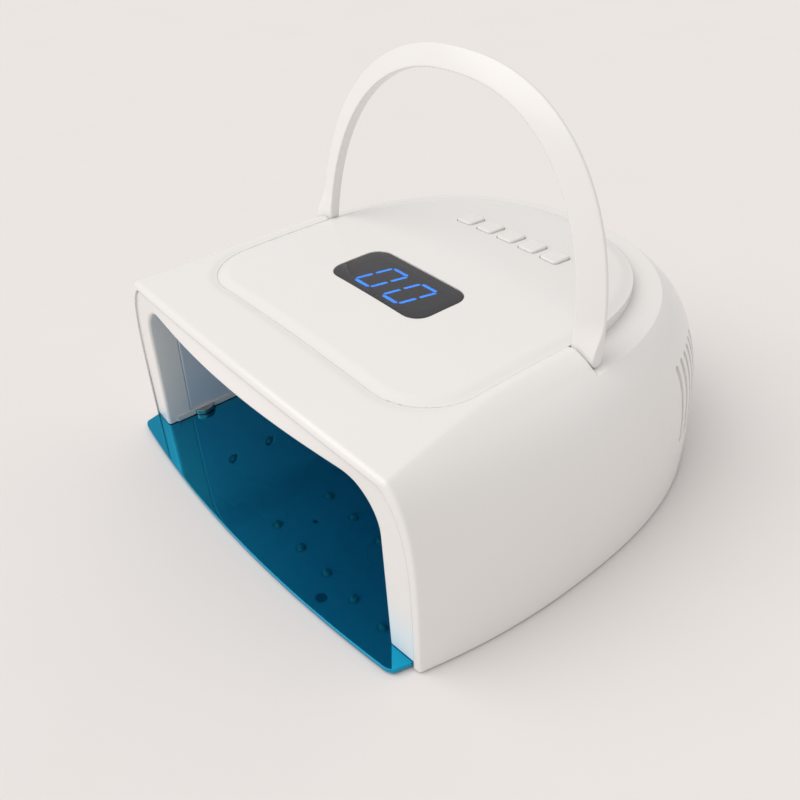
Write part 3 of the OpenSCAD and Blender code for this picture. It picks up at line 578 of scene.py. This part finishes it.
def rounded_box(w, d, r, n=10):
    """Outline of a w x d rectangle about the origin with corner arcs of radius r."""
    corners = []
    for first, sx, sy in ((0, 1, 1), (pi / 2, -1, 1), (pi, -1, -1), (1.5 * pi, 1, -1)):
        b = first + np.linspace(0, pi / 2, n)
        corners.append(np.column_stack([sx * (w / 2 - r) + r * np.cos(b), sy * (d / 2 - r) + r * np.sin(b)]))
    return np.concatenate(corners)


def plan(node):
    """Middle, width and depth in plan of a node's box, then its lowest and highest Z, in mm."""
    low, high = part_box(node)
    centre = np.array([(low.x + high.x) / 2, (low.y + high.y) / 2]) / MM
    return centre, (high.x - low.x) / MM, (high.y - low.y) / MM, low.z / MM, high.z / MM


window_r, window_seat = 8.0, 2.0
window_mid, window_w, window_d, window_foot, window_top = plan("display_window")
through = rounded_box(window_w - 2 * window_seat, window_d - 2 * window_seat, window_r - window_seat)
recess = rounded_box(window_w + 2 * seam, window_d + 2 * seam, window_r + seam)
cuts = [prism(window_mid + through, ledge, 120), prism(window_mid + recess, window_foot, 121)]
keys = ("key_10s", "key_30s", "key_60s", "key_99s", "key_power")
key_r, key_gap, key_flange = 2.0, 0.4, 1.2
for key in keys:
    key_mid, flange_w, flange_d, _, _ = plan(key)
    hole_w, hole_d = flange_w - 2 * (key_flange - key_gap), flange_d - 2 * (key_flange - key_gap)
    cuts.append(prism(key_mid + rounded_box(hole_w, hole_d, key_r + key_gap), ledge, 119))
bush_r = 2.4
for mirrored in (1, -1):
    bore_in, bore_out = mirrored * (panel_half - 14), mirrored * (panel_half + 1)
    cuts.append(tube(bush_r, [bore_in, pivot_y, pivot_z], [bore_out, pivot_y, pivot_z], 0))
panel_mesh = carve(panel_mesh, cuts)
fit("top_panel_skin", panel_mesh, white_abs, "lamp_body", ["top_panel"])

# ---- Display ----
# Two glowing blue numerals on a black module, seen through a smoked acrylic window
# that is glued into the panel.
dress("display_module", plastic("black_display_face", "0C0C0E", "101013", 0.5, 4, 0.01, 0.4, 0.2))
# Diffusing light pipes over blue LED chips. They glow in a slightly uneven blue; the middle
# bars are switched off, so both numerals read as noughts.
glow = blank("blue_light_pipe")
where = add(glow, "ShaderNodeTexCoord")
chip = add(glow, "ShaderNodeTexNoise", {"Scale": 160.0, "Detail": 1.0}, {"Vector": where.outputs["Object"]})
blue = add(glow, "ShaderNodeMix", {6: linear("0078FF"), 7: linear("00A0FF")}, {0: chip.outputs[0]},
           data_type="RGBA")
places = add(glow, "ShaderNodeSeparateXYZ", {}, {"Vector": where.outputs["Object"]})
off_line = add(glow, "ShaderNodeMath", {1: (window_mid[1] - 0.8) * MM}, {0: places.outputs[1]},
               operation="SUBTRACT")
off_by = add(glow, "ShaderNodeMath", {}, {0: off_line.outputs[0]}, operation="ABSOLUTE")
lit_here = add(glow, "ShaderNodeMath", {1: 0.85 * MM}, {0: off_by.outputs[0]}, operation="GREATER_THAN")
power = add(glow, "ShaderNodeMath", {1: 14.0}, {0: lit_here.outputs[0]}, operation="MULTIPLY")
dark = add(glow, "ShaderNodeMix", {6: linear("101014")}, {0: lit_here.outputs[0], 7: blue.outputs[2]},
           data_type="RGBA")
lit = add(glow, "ShaderNodeBsdfPrincipled", {"Roughness": 0.4},
          {"Base Color": dark.outputs[2], "Emission Color": blue.outputs[2],
           "Emission Strength": power.outputs[0]})
add(glow, "ShaderNodeOutputMaterial", {}, {"Surface": lit.outputs[0]})
dress("digit_segments", glow)


def cushion(name, outline, profile, centre):
    """Closed block: outline(inset) carried down (inset, height) rows and shut at both middles."""
    rings = [outline(inset) + centre for inset, _ in profile]
    shut = np.tile(centre, (len(rings[0]), 1))
    heights = [profile[0][1], *(z for _, z in profile), profile[-1][1]]
    rows = np.stack([np.column_stack([ring, np.full(len(ring), z)])
                     for ring, z in zip([shut, *rings, shut], heights)])
    return solid(name, rows, grid_faces(*rows.shape[:2], True).tolist())


quarter = np.linspace(0, pi / 2, 6)
window_edge = 0.35
window_profile = [(6.0, window_top)]
window_profile += [(window_edge * (1 - sin(t)), window_top - window_edge * (1 - cos(t))) for t in quarter]
window_profile.append((0.0, window_foot))
window_mesh = cushion("window",
                      lambda i: rounded_box(window_w - 2 * i, window_d - 2 * i, max(window_r - i, 1.5)),
                      window_profile, window_mid)
# Smoked cast acrylic, polished: dark grey glass to the eye, with the numerals showing through.
smoked = blank("smoked_acrylic")
where = add(smoked, "ShaderNodeTexCoord")
haze = add(smoked, "ShaderNodeTexNoise", {"Scale": 60.0, "Detail": 2.0}, {"Vector": where.outputs["Object"]})
smoke = add(smoked, "ShaderNodeMix", {6: linear("64646A"), 7: linear("5F5F66")}, {0: haze.outputs[0]},
            data_type="RGBA")
fine = add(smoked, "ShaderNodeMapRange", {"To Min": 0.03, "To Max": 0.06}, {"Value": haze.outputs[0]})
pane = add(smoked, "ShaderNodeBsdfPrincipled", {"IOR": 1.49, "Transmission Weight": 0.8},
           {"Base Color": smoke.outputs[2], "Roughness": fine.outputs[0]})
add(smoked, "ShaderNodeOutputMaterial", {}, {"Surface": pane.outputs[0]})
fit("display_window_pane", window_mesh, smoked, "lamp_body", ["display_window"])

# ---- Keys ----
# Five small white ABS keys with a flange under the panel, each resting over the
# button of a low switch on the control board.
key_edge, flange_t = 0.7, 1.0
for key in keys:
    key_mid, flange_w, flange_d, flange, key_top = plan(key)
    key_w, key_d = flange_w - 2 * key_flange, flange_d - 2 * key_flange
    key_profile = [(3.2, key_top), (1.6, key_top - 0.03)]
    key_profile += [(key_edge * (1 - sin(t)), key_top - 0.05 - key_edge * (1 - cos(t))) for t in quarter]
    key_profile += [(0.0, flange + flange_t), (-key_flange, flange + flange_t), (-key_flange, flange)]
    key_mesh = cushion(key, lambda i: rounded_box(key_w - 2 * i, key_d - 2 * i, max(key_r - i, 0.4)),
                       key_profile, key_mid)
    fit(key + "_cap", key_mesh, white_abs, key, [key])

# ---- Carry handle ----
# One glossy white ABS bail, thick along its inner edge and thin along its outer one,
# with round feet on steel pins that turn in black bushes in the panel.
handle_gap = 0.6
arch_half, arch_h = panel_half + handle_gap, panel_back + handle_gap
band = 12.0
crown_band = 0.76 * band
front_skin, rear_skin = -2.7, 2.9  # the bail's faces, mm in front of and behind the pins
mid_depth = (front_skin + rear_skin) / 2
lean = radians(6.4)


def arch(a, w, h):
    """Points of the bail's arch |x / w|^2.3 + |z / h|^2.3 = 1 at angles a, sprung from under the pivot."""
    c, s = np.cos(a), np.sin(a)
    p = 2 / arch_power
    return np.column_stack([np.sign(c) * w * np.abs(c) ** p, h * np.abs(s) ** p - spring_drop])


def leaned(points):
    """Points in the bail's own frame, (x, thickness, height), leaned back about the pivot."""
    p = np.asarray(points, float).reshape(-1, 3)
    return np.column_stack([p[:, 0], pivot_y + p[:, 1] * cos(lean) + p[:, 2] * sin(lean),
                            pivot_z - p[:, 1] * sin(lean) + p[:, 2] * cos(lean)])


first = np.arcsin((spring_drop / arch_h) ** (arch_power / 2))
sweep = np.linspace(first, pi - first, 261)
inside, outside = arch(sweep, arch_half, arch_h), arch(sweep, arch_half + band, arch_h + crown_band)
inside[[0, -1], 1] = outside[[0, -1], 1] = 0.0
# A foot closes each end: rows below the pivot at heights -r cos(t), as thick as the section times sin(t).
below = np.linspace(0.08, pi / 2, 9)[:-1]
foot_in = np.column_stack([np.full(len(below), inside[0, 0]), -foot_r * np.cos(below)])
foot_out = np.column_stack([np.full(len(below), outside[0, 0]), -foot_r * np.cos(below)])
inside = np.concatenate([foot_in, inside, foot_in[::-1] * [-1, 1]])
outside = np.concatenate([foot_out, outside, foot_out[::-1] * [-1, 1]])
thin = np.concatenate([np.sin(below), np.ones(len(sweep)), np.sin(below[::-1])])[:, None]
# The front face slopes back by 4.1 mm to the thin outer edge, and comes back to full thickness over the
# last 14 mm to the pivot.
near_foot = np.clip(inside[:, 1:] / 14, 0, 1)
slope = 4.1 * near_foot ** 2 * (3 - 2 * near_foot)
span_mm = np.linalg.norm(outside - inside, axis=1)[:, None]
# Corners of the wedge section as (mm outwards, depth, how far it is rounded).
nil, rear_face = np.zeros_like(span_mm), np.full_like(span_mm, rear_skin)
corners = [(nil, nil + front_skin, 1.0), (span_mm, front_skin + slope, 0.6), (span_mm, rear_face, 0.6),
           (nil, rear_face, 0.9)]
flat_section = [np.column_stack([outwards, deep]) for outwards, deep, _ in corners]
loops = []
for k in range(4):
    here, before, after = flat_section[k], flat_section[k - 1], flat_section[(k + 1) % 4]
    to_before = (before - here) / np.linalg.norm(before - here, axis=1)[:, None]
    to_after = (after - here) / np.linalg.norm(after - here, axis=1)[:, None]
    for t in np.linspace(0, 1, 6):
        point = here + corners[k][2] * (to_before * (1 - t) ** 2 + to_after * t ** 2)
        xz = inside + (outside - inside) * (point[:, :1] / span_mm)
        loops.append(np.column_stack([xz[:, :1], mid_depth + (point[:, 1:] - mid_depth) * thin, xz[:, 1:]]))
loops = np.stack(loops, 1)
bail = solid("bail", leaned(loops), closed_faces(*loops.shape[:2]))
pin_bore_r = 1.52
bores = [tube(pin_bore_r, [m * (arch_half - 1), pivot_y, pivot_z], [m * (arch_half + 7), pivot_y, pivot_z], 0)
         for m in (1, -1)]
bail = carve(bail, bores)
fit("handle_bail", bail, white_abs, "handle", ["handle"])
for node in ("handle_pin_left", "handle_pin_right"):
    dress(node, steel)
# Acetal bushes: black, slippery and slightly waxy.
acetal = plastic("black_acetal", "2A2A2D", "222225", 0.35, 4, 0.005, 0.5, 0.2)
for node in ("hinge_bush_left", "hinge_bush_right"):
    dress(node, acetal)
